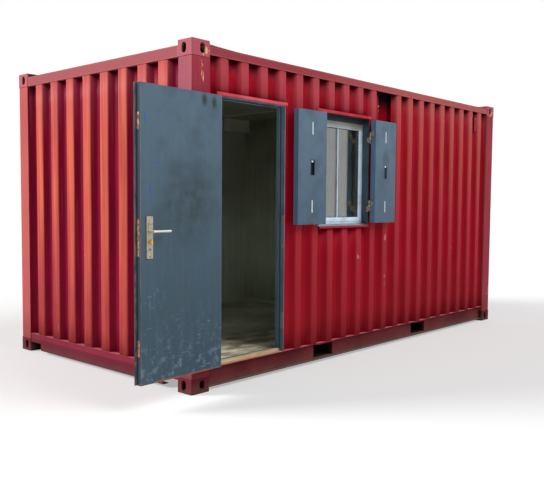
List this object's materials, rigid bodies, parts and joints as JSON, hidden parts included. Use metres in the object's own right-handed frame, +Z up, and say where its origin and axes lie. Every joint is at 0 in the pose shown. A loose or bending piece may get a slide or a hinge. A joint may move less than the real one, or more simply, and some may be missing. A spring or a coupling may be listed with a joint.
{
  "type": "container cabin",
  "caption": "Corrugated steel container made into a cabin, with a hinged door, a shuttered window, a lined room, corner fittings and fork pockets.",
  "frame": {"origin": "on the ground, in the middle of the four lock slots of the bottom corner fittings", "axes": "+X along the length to the right as seen from the door side, -Y out of the door side, +Z up"},
  "size_m": [5.4312, 2.5943, 2.591],
  "materials": {
    "red_paint": "weathered satin",
    "underframe_paint": "dusty matt",
    "floor_board": "worn matt",
    "white_lining": "matt",
    "box_plastic": "matt",
    "blue_grey_paint": "satin",
    "threshold_steel": "worn",
    "sill_paint": "satin",
    "white_plastic": "satin",
    "window_pane": "clear",
    "hinge_steel": "rusty zinc",
    "lock_steel": "tarnished",
    "satin_metal": "satin",
    "brass": "polished"
  },
  "bodies": {
    "cabin": {"back_lining": "white_lining", "back_wall": "red_paint", "bottom_corner_castings": "underframe_paint", "ceiling_lining": "white_lining", "corner_posts": "red_paint", "door_frame_head": "blue_grey_paint", "door_jambs": "blue_grey_paint", "door_threshold": "threshold_steel", "drip_strips": "red_paint", "end_headers": "red_paint", "end_linings": "white_lining", "end_sills": "underframe_paint", "floor_cross_members": "underframe_paint", "floor_deck": "floor_board", "fork_pocket_sides": "underframe_paint", "fork_pocket_straps": "underframe_paint", "fork_pocket_tops": "underframe_paint", "front_lining": "white_lining", "front_wall_between": "red_paint", "front_wall_left": "red_paint", "front_wall_over_door": "red_paint", "front_wall_over_window": "red_paint", "front_wall_right": "red_paint", "front_wall_under_window": "red_paint", "fuse_box": "box_plastic", "hinge_pins": "hinge_steel", "left_end_wall": "red_paint", "long_bottom_rails": "underframe_paint", "long_top_rails": "red_paint", "right_end_wall": "red_paint", "roof_sheet": "red_paint", "strike_plates": "lock_steel", "supply_niche": "red_paint", "top_corner_castings": "red_paint", "ventilator": "red_paint", "window_frame": "white_plastic", "window_glass": "window_pane", "window_reveal_head": "blue_grey_paint", "window_reveal_sides": "blue_grey_paint", "window_sill": "sill_paint"},
    "door": {"door_leaf": "blue_grey_paint", "door_hinge_knuckles": "hinge_steel", "lock_forends": "lock_steel", "lock_plates": "satin_metal", "lock_cylinder": "brass"},
    "door_handle": {"door_levers": "satin_metal"},
    "left_shutter": {"left_shutter_leaf": "blue_grey_paint", "left_shutter_knuckles": "hinge_steel"},
    "right_shutter": {"right_shutter_leaf": "blue_grey_paint", "right_shutter_knuckles": "hinge_steel"}
  },
  "joints": [
    {"name": "door_hinge", "type": "hinge", "parent": "cabin", "child": "door", "pos_m": [-2.202, -1.232, 0], "axis": [0, 0, -1], "range_deg": [-178, 2]},
    {"name": "door_lever", "type": "hinge", "parent": "door", "child": "door_handle", "pos_m": [-2.89898, -1.28786, 1.222], "axis": [-0.0349, 0.9994, 0], "range_deg": [0, 40], "stiffness_Nm_per_rad": 3, "springref_deg": -17.19},
    {"name": "left_shutter_hinge", "type": "hinge", "parent": "cabin", "child": "left_shutter", "pos_m": [-0.95, -1.232, 0], "axis": [0, 0, -1], "range_deg": [-183, 1]},
    {"name": "right_shutter_hinge", "type": "hinge", "parent": "cabin", "child": "right_shutter", "pos_m": [-0.213, -1.232, 0], "axis": [0, 0, 1], "range_deg": [-181, 3]}
  ]
}
